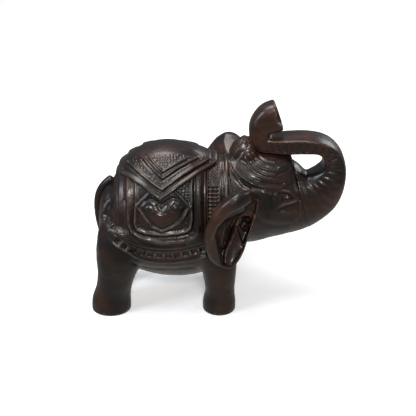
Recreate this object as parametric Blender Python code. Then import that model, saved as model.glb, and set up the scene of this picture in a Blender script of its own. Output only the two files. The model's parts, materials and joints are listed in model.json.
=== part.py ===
"""A standing elephant figurine with its trunk thrown back over its head, dressed in cloths.

It is built of separately carved pieces, pegged and glued: the body block with its four legs, the head,
the trunk, two ears and the tail, with the cloths, bands and eyes laid on or let in.
+Z is up, +X runs towards the face, +Y is the elephant's left; the ground is at z = 0.
"""

import math

import bmesh
import bpy
from mathutils import Matrix, Vector

MM = 0.001

# Driving dimensions, in millimetres.
CENTRE_SHIFT = 0.95  # along X, from the modelling zero to the middle of the figure's length
GLUE_GAP = 0.3  # clearance left between glued faces
SEAT_GAP = 0.45  # clearance where one curved skin lies on another
LEG_SPREAD = 13.5  # from the middle plane to the middle of a leg
NECK_CUT = ((9.5, 0.0), (9.5, 48.0), (4.0, 64.0), (4.0, 120.0))  # (x, z) line where the head meets the neck
TRUNK_CUT = (38.5, 52.0)  # a point (x, z) on the joint between head and trunk
TRUNK_CUT_LEAN = 15.0  # degrees that the joint's normal points above +X
TRUNK_CUT_TOP = 71.0  # above this height the trunk passes freely over the head
CLOTH_LIFT = (0.45, 1.6)  # inner and outer offsets of each cloth from the wood below
COVER_LIFT = (2.05, 3.2)
BAND_LIFT = (0.45, 1.6)
CAP_LIFT = (0.45, 1.5)
HEAD_PEG = (3.0, 16.0)  # radius and length of a dowel
TRUNK_PEG = (3.0, 14.0)
EAR_PEG = (1.5, 7.0)
PEG_X = 7.2
PEG_HEIGHT = 55.0
EAR_PEG_SPOT = (13.0, 57.0)  # (x, z) of the dowels that hold the ears
EYE_RADIUS = 2.0
EYE_SPOT = (31.0, 10.5, 56.8)
# The middles and half axes of the mouth in the tip of the trunk, and of the notch in its right rim.
MOUTH_CUTS = (((28.6, -0.8, 93.6), (4.8, 4.4, 6.0)), ((31.5, -7.5, 93.5), (6.2, 6.0, 5.6)))
MOUTH_LEAN = 20.0
RING_SIDES = 32
# How a skin is fused: voxel size, rounds of smoothing, and the share of its triangles that is kept.
BODY_SKIN = (1.5, 6, 0.16)
HEAD_SKIN = (1.2, 4, 0.2)
TRUNK_SKIN = (0.8, 4, 0.1)
SEAT_SKIN = (0.8, 4, 0.16)
DEPTH = 60.0  # half the length of a cutter that runs across the figure

WOOD_DARK = (0.030, 0.017, 0.014, 1.0)
WOOD_RED = (0.060, 0.024, 0.016, 1.0)
WOOD_PEG = (0.300, 0.180, 0.090, 1.0)
EYE_BLACK = (0.008, 0.007, 0.007, 1.0)

# A station is (x, y, z, half width across, half thickness in the x-z plane), in millimetres.
TORSO = (
    (-49.6, 0, 43.0, 12.5, 17.0),
    (-46.0, 0, 43.5, 17.0, 22.5),
    (-41.0, 0, 43.8, 19.8, 26.8),
    (-33.5, 0, 44.3, 21.6, 30.6),
    (-24.0, 0, 44.3, 22.3, 32.5),
    (-13.0, 0, 43.6, 21.3, 31.6),
    (-4.0, 0, 43.4, 18.6, 27.8),
    (4.0, 0, 49.2, 16.0, 22.5),
    (14.0, 0, 52.2, 14.5, 21.2),
)
HEAD_TO_TIP = (
    (0.0, 0, 51.0, 15.0, 21.0),
    (8.0, 0, 51.8, 15.0, 22.0),
    (15.0, 0, 51.6, 15.6, 22.3),
    (22.0, 0, 51.2, 15.2, 20.4),
    (29.0, 0, 50.8, 13.4, 17.7),
    (37.0, 0, 51.6, 10.9, 15.8),
    (44.8, 0, 55.0, 9.1, 12.9),
    (49.9, 0, 61.0, 8.1, 9.2),
    (52.4, 0, 67.8, 7.6, 5.8),
    (51.0, 0, 74.6, 7.3, 4.4),
    (46.3, 0, 78.8, 7.2, 3.6),
    (39.0, 0, 79.8, 7.0, 4.0),
    (31.0, 0, 79.6, 6.8, 4.0),
    (24.5, 0, 79.6, 6.2, 3.6),
    (19.4, 0, 80.6, 5.8, 4.6),
    (18.2, 0, 84.8, 5.6, 4.8),
    (19.3, 0, 88.6, 5.8, 5.8),
    (22.6, 0, 91.6, 6.0, 7.0),
    (26.6, 0, 93.2, 6.0, 7.6),
)
HEAD_LAST = 8  # the head block is built from this many stations
TRUNK_FIRST = 4  # the trunk starts at this station, inside the head, and is cut at the joint
TRUNK_SQUARE = 1.1
BROW = (
    (12.0, 0, 66.0, 9.0, 7.5),
    (20.0, 0, 66.5, 10.5, 8.3),
    (27.0, 0, 66.2, 9.5, 8.0),
    (32.0, 0, 64.2, 8.0, 7.4),
)
CREST = ((5.5, 0, 68.5, 4.0, 3.5), (9.0, 0, 70.5, 5.5, 6.3), (12.5, 0, 72.5, 6.0, 8.5), (15.0, 0, 73.0, 5.6, 8.0))
HIND_LEG = (
    (-51.0, 1, -4.0, 8.4, 9.0),
    (-51.0, 1, 3.0, 8.7, 9.5),
    (-49.8, 1, 10.0, 8.2, 8.4),
    (-48.2, 1, 18.0, 8.8, 8.8),
    (-46.0, 0.95, 30.0, 10.3, 11.2),
    (-43.0, 0.85, 45.0, 9.5, 11.0),
)
FRONT_LEG = (
    (0.3, 1, -4.0, 8.0, 7.6),
    (0.3, 1, 3.0, 8.2, 7.9),
    (0.6, 1, 10.0, 7.7, 7.0),
    (0.3, 1, 20.0, 8.4, 8.0),
    (-1.0, 0.92, 32.0, 9.2, 10.0),
    (-2.0, 0.8, 45.0, 9.0, 10.5),
)
TAIL = (
    (-50.0, 0, 61.3, 1.9, 1.9),
    (-52.8, 0, 58.6, 1.9, 1.9),
    (-55.2, 0, 55.0, 1.8, 1.8),
    (-56.5, 0, 50.0, 1.7, 1.7),
    (-56.7, 0, 44.0, 1.6, 1.6),
    (-56.0, 0, 38.0, 1.6, 1.6),
    (-54.3, 0, 32.0, 2.2, 1.9),
    (-51.8, 0, 27.0, 1.8, 1.6),
)
# The edges of the cloths are drawn as seen from beside and above, in x and w = z cos - |y| sin of this angle.
SIGHT_DOWN = 28.0
CLOTH_EDGE = (
    (-46.9, 90.0), (-47.0, 56.0), (-46.6, 48.8), (-46.5, 38.8), (-48.5, 35.0), (-50.3, 30.7), (-50.8, 28.4),
    (-49.9, 26.1), (-46.9, 23.8), (-42.5, 20.8), (-38.5, 18.3), (-33.5, 16.3), (-27.1, 15.3), (-20.2, 15.5),
    (-13.3, 16.4), (-6.0, 18.4), (-6.0, 90.0),
)
COVER_EDGE = (
    (-46.0, 90.0), (-46.0, 60.0), (-44.9, 56.5), (-39.4, 53.4), (-35.2, 50.4), (-30.7, 46.8), (-26.2, 43.7),
    (-21.8, 46.5), (-17.4, 49.8), (-13.0, 52.8), (-8.6, 56.3), (-2.7, 60.0), (-0.8, 61.6), (-0.8, 90.0),
)
BAND_EDGE = ((-5.4, 90.0), (-5.4, 27.0), (0.4, 27.0), (0.4, 90.0))
CAP_EDGE = (
    (4.6, 90.0), (4.6, 62.0), (6.3, 58.3), (9.4, 53.9), (12.5, 51.6), (15.6, 49.9), (20.6, 49.0), (27.5, 48.6),
    (30.4, 50.0), (32.5, 53.0), (33.0, 58.0), (33.0, 90.0),
)
# Where the ears pass over the neck band, (x, z).
EAR_CLEAR_EDGE = ((-14.0, 25.0), (1.6, 25.0), (1.6, 90.0), (-14.0, 90.0))
# An ear's rows: (x, y, z) of its outline, then of the free edge of its lip, from the front of the top round
# the back to the lobe and up the front; y is counted outwards.
EAR = (
    ((17.6, 18.0, 62.3), (16.0, 20.2, 60.3)),
    ((13.6, 28.0, 69.6), (13.4, 30.2, 63.4)),
    ((7.5, 33.0, 71.2), (8.8, 35.0, 62.8)),
    ((1.2, 33.5, 67.6), (4.2, 35.5, 60.2)),
    ((-4.0, 32.5, 60.0), (0.6, 35.5, 56.0)),
    ((-7.2, 31.0, 50.5), (-1.0, 34.5, 50.8)),
    ((-7.0, 30.0, 42.5), (-0.2, 33.0, 44.0)),
    ((-4.6, 29.0, 35.5), (0.8, 31.0, 37.8)),
    ((0.2, 28.5, 31.2), (2.0, 29.5, 33.4)),
    ((5.4, 27.5, 29.6), (5.4, 28.3, 31.6)),
    ((10.2, 25.5, 34.6), (9.0, 26.3, 35.8)),
    ((14.0, 20.8, 43.6), (12.6, 21.8, 44.2)),
    ((16.4, 17.6, 50.4), (15.0, 18.8, 50.8)),
    ((18.0, 17.6, 56.2), (16.3, 19.2, 56.6)),
)
EAR_MIDDLE = (9.5, 19.4, 52.5)
EAR_BACK = (12.0, 11.0, 55.0)
EAR_STEPS = 3
EAR_SLIP = -2.5  # the left ear sits a little further back than the right one
LIP_BULGE = 2.2
LIP_DEPTH = 4.5


def catmull_rom(rows, steps, closed=False):
    """Rows of numbers, with steps - 1 more between each two, on a smooth curve through all of them."""
    count = len(rows)
    out = []
    for i in range(count if closed else count - 1):
        near = [j % count if closed else min(max(j, 0), count - 1) for j in (i - 1, i, i + 1, i + 2)]
        a, b, c, d = (rows[j] for j in near)
        for k in range(steps):
            t = k / steps
            row = []
            for p, q, r, s in zip(a, b, c, d):
                bend = (2 * p - 5 * q + 4 * r - s) * t**2 + (3 * q - p - 3 * r + s) * t**3
                row.append(0.5 * (2 * q + (r - p) * t + bend))
            out.append(tuple(row))
    if not closed:
        out.append(tuple(rows[-1]))
    return out


def new_object(name, bm, colour=WOOD_DARK, roughness=0.3):
    bmesh.ops.recalc_face_normals(bm, faces=bm.faces)
    mesh = bpy.data.meshes.new(name)
    bm.to_mesh(mesh)
    bm.free()
    mesh.polygons.foreach_set("use_smooth", [True] * len(mesh.polygons))
    material = bpy.data.materials.new(name)
    material.use_nodes = True
    shader = material.node_tree.nodes["Principled BSDF"]
    shader.inputs["Base Color"].default_value = colour
    shader.inputs["Roughness"].default_value = roughness
    shader.inputs["Metallic"].default_value = 0.0
    obj = bpy.data.objects.new(name, mesh)
    obj.data.materials.append(material)
    bpy.context.scene.collection.objects.link(obj)
    return obj


def guide(obj):
    """Marks an object as a cutter: it shapes other pieces and is not a piece itself."""
    obj.hide_render = True
    obj.display_type = "WIRE"
    return obj


def tube(bm, stations, lift=0.0, steps=4, dome=0.75, upright=False, sides=RING_SIDES, square=0.0):
    """Adds a closed tube to bm: elliptic rings through the stations, square to the path, with domed ends.

    Past its first stations a tube can grow more box-like: square is how much its rings' exponent rises above 2.
    """
    rows = catmull_rom(stations, steps)
    frames = []
    for i, row in enumerate(rows):
        ahead = rows[min(i + 1, len(rows) - 1)]
        behind = rows[max(i - 1, 0)]
        along = Vector((ahead[0] - behind[0], 0, ahead[2] - behind[2])).normalized()
        if upright:
            along = Vector((1, 0, 0))
        frames.append((Vector(row[:3]), along, row[3] + lift, row[4] + lift))

    def domed(frame, sign):
        centre, along, across, thick = frame
        for angle in (20, 40, 60, 78):
            shrink = math.cos(math.radians(angle))
            reach = sign * dome * min(across, thick) * math.sin(math.radians(angle))
            yield centre + along * reach, along, across * shrink, thick * shrink

    if dome:
        frames = [*reversed(list(domed(frames[0], -1))), *frames, *domed(frames[-1], 1)]
    rings = []
    for i, (centre, along, across, thick) in enumerate(frames):
        normal = Vector((-along.z, 0, along.x))
        power = 2 / (2 + square * min(max(5 * i / len(frames) - 0.8, 0), 1))
        ring = []
        for k in range(sides):
            angle = 2 * math.pi * k / sides
            wide, high = (math.copysign(abs(f(angle)) ** power, f(angle)) for f in (math.cos, math.sin))
            spot = centre + Vector((0, across * wide, 0)) + normal * thick * high
            ring.append(bm.verts.new(spot * MM))
        rings.append(ring)
    skin(bm, rings)
    bm.faces.new(list(reversed(rings[0])))
    bm.faces.new(rings[-1])


def skin(bm, rings):
    count = len(rings[0])
    for one, two in zip(rings, rings[1:]):
        for k in range(count):
            j = (k + 1) % count
            bm.faces.new((one[k], one[j], two[j], two[k]))


def fused(name, tubes, fineness, lift=0.0, colour=WOOD_DARK, square=0.0):
    """One closed skin over overlapping tubes: fused on a voxel grid, smoothed and thinned out."""
    voxel, smooth, keep = fineness
    bm = bmesh.new()
    for stations, dome in tubes:
        tube(bm, stations, lift=lift, dome=dome, upright=stations is TORSO, square=square)
    obj = new_object(name, bm, colour)
    remesh = obj.modifiers.new("Fuse", "REMESH")
    remesh.mode = "VOXEL"
    remesh.voxel_size = voxel * MM
    relax = obj.modifiers.new("Relax", "SMOOTH")
    relax.iterations = smooth
    relax.factor = 0.5
    thin = obj.modifiers.new("Thin", "DECIMATE")
    thin.ratio = keep
    return obj


def combine(obj, operation, other):
    modifier = obj.modifiers.new(operation.title(), "BOOLEAN")
    modifier.operation = operation
    modifier.solver = "EXACT"
    modifier.object = other
    modifier.use_self = False
    return obj


def prism(name, outline, down=0.0):
    """A cutter across the whole figure: its outline is (x, z), or (x, w) as seen down at the given angle."""
    rise, run = math.cos(math.radians(down)), math.sin(math.radians(down))
    bm = bmesh.new()
    rings = []
    for y in (-DEPTH, 0.0, DEPTH):
        rings.append([bm.verts.new(Vector((x, y, (w + abs(y) * run) / rise)) * MM) for x, w in outline])
    skin(bm, rings)
    bm.faces.new(list(reversed(rings[0])))
    bm.faces.new(rings[-1])
    return guide(new_object(name, bm))


def dowel(name, size, centre, direction, extra=0.0):
    radius, length = size
    bm = bmesh.new()
    turn = Vector(direction).to_track_quat("Z", "Y").to_matrix().to_4x4()
    bmesh.ops.create_cone(
        bm, cap_ends=True, segments=20, radius1=(radius + extra) * MM, radius2=(radius + extra) * MM,
        depth=(length + 2 * extra) * MM, matrix=Matrix.Translation(Vector(centre) * MM) @ turn,
    )
    return new_object(name, bm, WOOD_PEG, 0.7)


def pegged(name, size, centre, direction, pieces):
    """A hidden dowel, let into holes that are bored in the pieces on both sides of the joint."""
    dowel(name, size, centre, direction)
    bore = guide(dowel(name + "_bore", size, centre, direction, GLUE_GAP))
    for piece in pieces:
        combine(piece, "DIFFERENCE", bore)


def leg_stations(stations, side):
    return [(x, side * LEG_SPREAD * y, z, across, thick) for x, y, z, across, thick in stations]


def body_tubes():
    tubes = [(TORSO, 0.55)]
    for side in (-1, 1):
        tubes.append((leg_stations(HIND_LEG, side), 0))
        tubes.append((leg_stations(FRONT_LEG, side), 0))
    return tubes


def head_tubes():
    return [(HEAD_TO_TIP[:HEAD_LAST], 0.75), (BROW, 0.75), (CREST, 0.5)]


def make_body():
    body = fused("body", body_tubes(), BODY_SKIN)
    block = ((-80.0, 0.0), *NECK_CUT, (-80.0, 120.0))
    return combine(body, "INTERSECT", prism("body_block", block))


def trunk_joint(shift):
    """Two points of the joint line, below and above the trunk's root, moved by shift along its normal."""
    lean = math.radians(TRUNK_CUT_LEAN)
    x = TRUNK_CUT[0] + shift * math.cos(lean)
    z = TRUNK_CUT[1] + shift * math.sin(lean)
    up = TRUNK_CUT_TOP - z
    down = 40.0
    return (x + down * math.tan(lean), z - down), (x - up * math.tan(lean), TRUNK_CUT_TOP)


def make_head():
    head = fused("head", head_tubes(), HEAD_SKIN)
    low, high = trunk_joint(-GLUE_GAP)
    neck = [(x + GLUE_GAP, z) for x, z in NECK_CUT]
    block = (neck[0], (low[0], 0.0), low, high, (high[0], 120.0), *reversed(neck[1:]))
    combine(head, "INTERSECT", prism("head_block", block))
    return head


def make_trunk():
    trunk = fused("trunk", [(HEAD_TO_TIP[TRUNK_FIRST:], 0)], TRUNK_SKIN, colour=WOOD_RED, square=TRUNK_SQUARE)
    low, high = trunk_joint(0.0)
    waste = ((0.0, 0.0), (low[0], 0.0), low, high, (0.0, TRUNK_CUT_TOP))
    combine(trunk, "DIFFERENCE", prism("trunk_waste", waste))
    lean = Matrix.Rotation(math.radians(-MOUTH_LEAN), 4, "Y")
    for i, (spot, size) in enumerate(MOUTH_CUTS):
        bm = bmesh.new()
        place = Matrix.Translation(Vector(spot) * MM) @ lean @ Matrix.Diagonal((*size, 1))
        bmesh.ops.create_icosphere(bm, subdivisions=3, radius=MM, matrix=place)
        combine(trunk, "DIFFERENCE", guide(new_object(f"mouth_cut_{i}", bm)))
    return trunk


def make_ear(name, side, slip):
    """A cupped ear: a dished floor, a lip rolled over it, and a plain back, as one closed skin."""
    rows = catmull_rom([outline + lip for outline, lip in EAR], EAR_STEPS, closed=True)
    middle, back = Vector(EAR_MIDDLE), Vector(EAR_BACK)
    rings = [[] for _ in range(8)]
    for row in rows:
        edge, lip = Vector(row[:3]), Vector(row[3:])
        width = (edge - lip).length
        crest = edge.lerp(lip, 0.55) + Vector((0, min(LIP_BULGE, 0.35 * width), 0))
        shoulder = edge.lerp(lip, 0.15) + Vector((0, min(LIP_BULGE, 0.3 * width), 0))
        under = lip.lerp(edge, 0.25) - Vector((0, min(LIP_DEPTH, 0.5 * width) + 0.3, 0))
        floor = middle.lerp(lip, 0.75)
        floor.y = middle.y + (under.y - middle.y) * 0.55
        inner = middle.lerp(floor, 0.45)
        behind = back.lerp(edge, 0.72)
        behind.y = back.y + (edge.y - back.y) * 0.5
        for ring, spot in zip(rings, (inner, floor, under, lip, crest, shoulder, edge, behind)):
            ring.append(spot)
    bm = bmesh.new()
    made = []
    for ring in rings:
        made.append([bm.verts.new(Vector((p.x + slip, side * p.y, p.z)) * MM) for p in ring])
    skin(bm, made)
    for ring, centre in ((made[0], middle), (made[-1], back)):
        pole = bm.verts.new(Vector((centre.x + slip, side * centre.y, centre.z)) * MM)
        for k in range(len(ring)):
            bm.faces.new((ring[k], ring[(k + 1) % len(ring)], pole))
    return new_object(name, bm, WOOD_RED)


def make_tail():
    bm = bmesh.new()
    tube(bm, TAIL, steps=2, sides=16)
    return new_object("tail", bm)


def laid_on(name, tubes, fineness, lift, edge, under):
    """A thin piece that follows the wood below: its skin is lifted, trimmed to an outline and hollowed."""
    piece = fused(name, tubes, fineness, lift)
    combine(piece, "INTERSECT", prism(name + "_edge", edge, SIGHT_DOWN))
    return combine(piece, "DIFFERENCE", under)


def core(name, tubes, fineness, lift):
    return guide(fused(name, tubes, fineness, lift))


def make_eye(name, side, head):
    for label, extra in ((name, 0.0), (name + "_socket", GLUE_GAP)):
        bm = bmesh.new()
        spot = Matrix.Translation(Vector((EYE_SPOT[0], side * EYE_SPOT[1], EYE_SPOT[2])) * MM)
        bmesh.ops.create_icosphere(bm, subdivisions=2, radius=(EYE_RADIUS + extra) * MM, matrix=spot)
        obj = new_object(label, bm, EYE_BLACK, 0.1)
        if extra:
            combine(head, "DIFFERENCE", guide(obj))


def centre_on_origin():
    """Hangs everything on one empty, placed so that the origin is at the middle of the figure's length."""
    figure = bpy.data.objects.new("figure", None)
    bpy.context.scene.collection.objects.link(figure)
    for obj in list(bpy.context.scene.objects):
        if obj.type == "MESH":
            obj.parent = figure
    figure.location.x = CENTRE_SHIFT * MM


def main():
    for obj in list(bpy.data.objects):
        bpy.data.objects.remove(obj)
    body = make_body()
    head = make_head()
    trunk = make_trunk()
    body_core = core("body_core", body_tubes(), BODY_SKIN, CLOTH_LIFT[0])
    cloth_core = core("cloth_core", body_tubes(), BODY_SKIN, COVER_LIFT[0])
    head_core = core("head_core", head_tubes(), HEAD_SKIN, CAP_LIFT[0])
    trunk_core = guide(
        fused("trunk_core", [(HEAD_TO_TIP[TRUNK_FIRST + 2:], 0)], SEAT_SKIN, SEAT_GAP, square=TRUNK_SQUARE)
    )
    laid_on("saddle_cloth", body_tubes(), BODY_SKIN, CLOTH_LIFT[1], CLOTH_EDGE, body_core)
    laid_on("saddle_cover", body_tubes(), BODY_SKIN, COVER_LIFT[1], COVER_EDGE, cloth_core)
    laid_on("neck_band", body_tubes(), BODY_SKIN, BAND_LIFT[1], BAND_EDGE, body_core)
    cap = laid_on("head_cover", head_tubes(), HEAD_SKIN, CAP_LIFT[1], CAP_EDGE, head_core)
    combine(head, "DIFFERENCE", trunk_core)
    combine(cap, "DIFFERENCE", trunk_core)
    combine(make_tail(), "DIFFERENCE", body_core)
    ear_room = core("ear_room", body_tubes(), BODY_SKIN, COVER_LIFT[0])
    combine(ear_room, "INTERSECT", prism("ear_room_edge", EAR_CLEAR_EDGE))
    for word, side, slip in (("right", -1, 0.0), ("left", 1, EAR_SLIP)):
        ear = make_ear("ear_" + word, side, slip)
        combine(ear, "DIFFERENCE", head_core)
        combine(ear, "DIFFERENCE", body_core)
        combine(ear, "DIFFERENCE", ear_room)
        spot = (EAR_PEG_SPOT[0], side * 14.5, EAR_PEG_SPOT[1])
        pegged("ear_peg_" + word, EAR_PEG, spot, (0, side, 0), (head, ear))
        make_eye("eye_" + word, side, head)
    pegged("head_peg", HEAD_PEG, (PEG_X, 0, PEG_HEIGHT), (1, 0, 0), (body, head))
    lean = math.radians(TRUNK_CUT_LEAN)
    square = (math.cos(lean), 0, math.sin(lean))
    pegged("trunk_peg", TRUNK_PEG, (TRUNK_CUT[0], 0, TRUNK_CUT[1]), square, (head, trunk))
    centre_on_origin()


main()
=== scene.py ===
"""The carved elephant: finely carved skins in place of the frame's solids, with stain, floor and light."""

import json
import math

import bmesh
import bpy
import numpy as np
from mathutils import Matrix, Vector

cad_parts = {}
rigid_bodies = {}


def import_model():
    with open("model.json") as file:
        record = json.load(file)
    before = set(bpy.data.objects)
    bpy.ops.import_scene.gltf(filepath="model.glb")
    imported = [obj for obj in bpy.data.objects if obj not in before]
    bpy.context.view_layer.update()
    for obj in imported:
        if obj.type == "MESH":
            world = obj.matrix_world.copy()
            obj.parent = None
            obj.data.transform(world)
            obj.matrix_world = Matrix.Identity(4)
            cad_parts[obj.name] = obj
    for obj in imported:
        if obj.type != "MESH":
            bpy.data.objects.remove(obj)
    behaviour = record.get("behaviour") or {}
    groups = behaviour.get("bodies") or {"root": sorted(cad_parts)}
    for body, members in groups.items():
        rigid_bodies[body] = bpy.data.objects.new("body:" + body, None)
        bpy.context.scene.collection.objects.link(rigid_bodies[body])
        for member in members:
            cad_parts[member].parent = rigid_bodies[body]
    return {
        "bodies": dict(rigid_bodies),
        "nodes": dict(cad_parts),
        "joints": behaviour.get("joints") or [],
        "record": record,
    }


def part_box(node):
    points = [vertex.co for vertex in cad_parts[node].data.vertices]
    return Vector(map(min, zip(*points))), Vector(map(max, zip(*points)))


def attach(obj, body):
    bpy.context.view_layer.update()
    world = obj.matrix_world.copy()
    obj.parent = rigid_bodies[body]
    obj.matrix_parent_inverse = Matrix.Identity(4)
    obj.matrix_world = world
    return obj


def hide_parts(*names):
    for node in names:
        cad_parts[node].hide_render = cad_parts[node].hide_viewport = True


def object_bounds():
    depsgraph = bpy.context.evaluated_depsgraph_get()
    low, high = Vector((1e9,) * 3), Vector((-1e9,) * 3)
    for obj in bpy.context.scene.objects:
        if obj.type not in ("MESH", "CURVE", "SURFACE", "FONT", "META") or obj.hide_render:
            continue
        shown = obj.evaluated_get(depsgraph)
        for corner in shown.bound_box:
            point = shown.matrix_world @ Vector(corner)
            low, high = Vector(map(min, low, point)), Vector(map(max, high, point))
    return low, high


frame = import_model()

CAD_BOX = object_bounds()
MM = 0.001
# Outlines are drawn in (x, w) as seen from the side and above: w = z RISE - |y| RUN.
TILT = math.radians(28)
RISE, RUN = math.cos(TILT), math.sin(TILT)
EYE_SPOT = (31.0, 10.5, 56.8)
EYE_RADIUS = 1.95
# From the modelling zero to the middle of the frame, in millimetres along x.
SHIFT = (sum(c.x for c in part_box("eye_right")) / 2) / MM - EYE_SPOT[0]
RING_SIDES = 40
DOME_ANGLES = (10, 20, 30, 40, 50, 60, 70, 78)
LEG_SPREAD = 13.5
SPINE_REACH, SPINE_HEIGHT = (-36.0, 24.0), 45.0  # the line that the outer skin of a cloth faces away from
DEPTH = 60.0  # half the length of a cutter that runs across the figure
HASH_WEIGHTS, HASH_SCALE = (12.9898, 78.233, 37.719), 43758.5453
RELIEF_OF_SHAPE, RELIEF_OF_CARVING = 1.8, 0.45  # per millimetre

# Voxel size in millimetres and rounds of smoothing for each kind of skin.
BODY_SKIN = (0.6, 36)
CAP_SKIN = (0.5, 30)
NEAR_SKIN = (0.8, 18)
TRUNK_SKIN = (0.35, 16)
TAIL_SKIN = (0.3, 3)
MOUTH_SKIN = (0.3, 1)
EAR_SKIN = (0.33, 6)
# The same for a piece that has just been cut.
CLOTH_TRIMMED = (0.36, 2)
BAND_TRIMMED = (0.3, 2)
CAP_TRIMMED = (0.32, 2)
TRUNK_TRIMMED = EAR_TRIMMED = (0.33, 2)

# Inner and outer offset of each laid-on piece from the wood below.
CLOTH_LIFT = (0.3, 1.6)
COVER_LIFT = (1.7, 3.1)
BAND_LIFT = (0.3, 1.6)
CAP_LIFT = (0.3, 1.5)
EAR_GAP = 0.35

# How much of a mesh is left once it is thinned.
THINNED, TAIL_THINNED = (0.5, 0.6)
scene = bpy.context.scene
scene.view_settings.view_transform = "Standard"

# ---------------------------------------------------------------- the masses
# A station is (x, y, z, half width across, half thickness in the x-z plane), in millimetres.
TORSO = (
    (-49.6, 0, 43.0, 12.5, 17.0),
    (-46.0, 0, 43.5, 17.0, 22.5),
    (-41.0, 0, 43.8, 19.8, 26.8),
    (-33.5, 0, 44.3, 21.6, 30.6),
    (-24.0, 0, 44.3, 22.3, 32.5),
    (-13.0, 0, 43.6, 21.3, 31.6),
    (-4.0, 0, 43.4, 18.6, 27.8),
    (4.0, 0, 49.2, 16.0, 22.5),
    (14.0, 0, 52.2, 14.5, 21.2),
)
HEAD_TO_TIP = (
    (0.0, 0, 51.0, 15.0, 21.0),
    (8.0, 0, 51.8, 15.0, 22.0),
    (15.0, 0, 51.6, 15.6, 22.3),
    (22.0, 0, 51.2, 15.2, 20.4),
    (29.0, 0, 50.8, 13.4, 17.7),
    (37.0, 0, 51.6, 10.9, 15.8),
    (44.8, 0, 55.0, 9.1, 12.9),
    (49.9, 0, 61.0, 8.1, 9.2),
    (52.4, 0, 67.8, 7.6, 5.8),
    (51.0, 0, 74.6, 7.3, 4.4),
    (46.3, 0, 78.8, 7.2, 3.6),
    (39.0, 0, 79.8, 7.0, 4.0),
    (31.0, 0, 79.6, 6.8, 4.0),
    (24.5, 0, 79.6, 6.2, 3.6),
    (19.4, 0, 80.6, 5.8, 4.6),
    (18.2, 0, 84.8, 5.6, 4.8),
    (19.3, 0, 88.6, 5.8, 5.8),
    (22.6, 0, 91.6, 6.0, 7.0),
    (26.6, 0, 93.2, 6.0, 6.9),
)
BROW = (
    (12.0, 0, 66.0, 9.0, 7.5),
    (20.0, 0, 66.5, 10.5, 8.3),
    (27.0, 0, 66.2, 9.5, 8.0),
    (32.0, 0, 64.2, 8.0, 7.4),
)
CREST = (
    (5.5, 0, 68.5, 4.0, 3.5),
    (9.0, 0, 70.5, 5.5, 6.3),
    (12.5, 0, 72.5, 6.0, 8.5),
    (15.0, 0, 73.0, 5.6, 8.0),
)
TRUNK_ROOT = (
    (30.0, 0, 67.3, 7.0, 3.3),
    (33.5, 0, 66.4, 7.0, 3.3),
    (37.0, 0, 64.0, 6.5, 3.0),
    (40.0, 0, 62.5, 5.5, 2.0),
)
HIND_LEG = (
    (-51.0, 1, -4.0, 8.4, 9.0),
    (-51.0, 1, 3.0, 8.7, 9.5),
    (-49.8, 1, 10.0, 8.2, 8.4),
    (-48.2, 1, 18.0, 8.8, 8.8),
    (-46.0, 0.95, 30.0, 10.3, 11.2),
    (-43.0, 0.85, 45.0, 9.5, 11.0),
)
FRONT_LEG = (
    (0.3, 1, -4.0, 8.0, 7.6),
    (0.3, 1, 3.0, 8.2, 7.9),
    (0.6, 1, 10.0, 7.7, 7.0),
    (0.3, 1, 20.0, 8.4, 8.0),
    (-1.0, 0.92, 32.0, 9.2, 10.0),
    (-2.0, 0.8, 45.0, 9.0, 10.5),
)
TAIL = (
    (-50.0, 0, 61.3, 1.9, 1.9),
    (-52.8, 0, 58.6, 1.9, 1.9),
    (-55.2, 0, 55.0, 1.8, 1.8),
    (-56.5, 0, 50.0, 1.7, 1.7),
    (-56.7, 0, 44.0, 1.6, 1.6),
    (-56.0, 0, 38.0, 1.6, 1.6),
    (-54.3, 0, 32.0, 2.2, 1.9),
    (-51.8, 0, 27.0, 1.8, 1.6),
)
# Where the head starts and where it ends, as points of a line in (x, z).
NECK = ((10.5, 0.0), (10.5, 30.0), (3.0, 80.0), (3.0, 120.0))
TRUNK_SEAM = ((52.5, 0.0), (33.4, 71.0))
HEAD_STATIONS, TRUNK_FIRST = (8, 4)


def catmull_rom(rows, steps, closed=False):
    """Points of a smooth curve through the rows, with steps points to a row."""
    count = len(rows)
    out = []
    for i in range(count if closed else count - 1):
        near = [j % count if closed else min(max(j, 0), count - 1) for j in (i - 1, i, i + 1, i + 2)]
        a, b, c, d = (rows[j] for j in near)
        for k in range(steps):
            t = k / steps
            row = []
            for p, q, r, s in zip(a, b, c, d):
                bend = (2 * p - 5 * q + 4 * r - s) * t**2 + (3 * q - p - 3 * r + s) * t**3
                row.append(0.5 * (2 * q + (r - p) * t + bend))
            out.append(tuple(row))
    if not closed:
        out.append(tuple(rows[-1]))
    return out


def skin(bm, rings):
    """Faces between rings of vertices."""
    count = len(rings[0])
    for one, two in zip(rings, rings[1:]):
        for k in range(count):
            j = (k + 1) % count
            bm.faces.new((one[k], one[j], two[j], two[k]))


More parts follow.
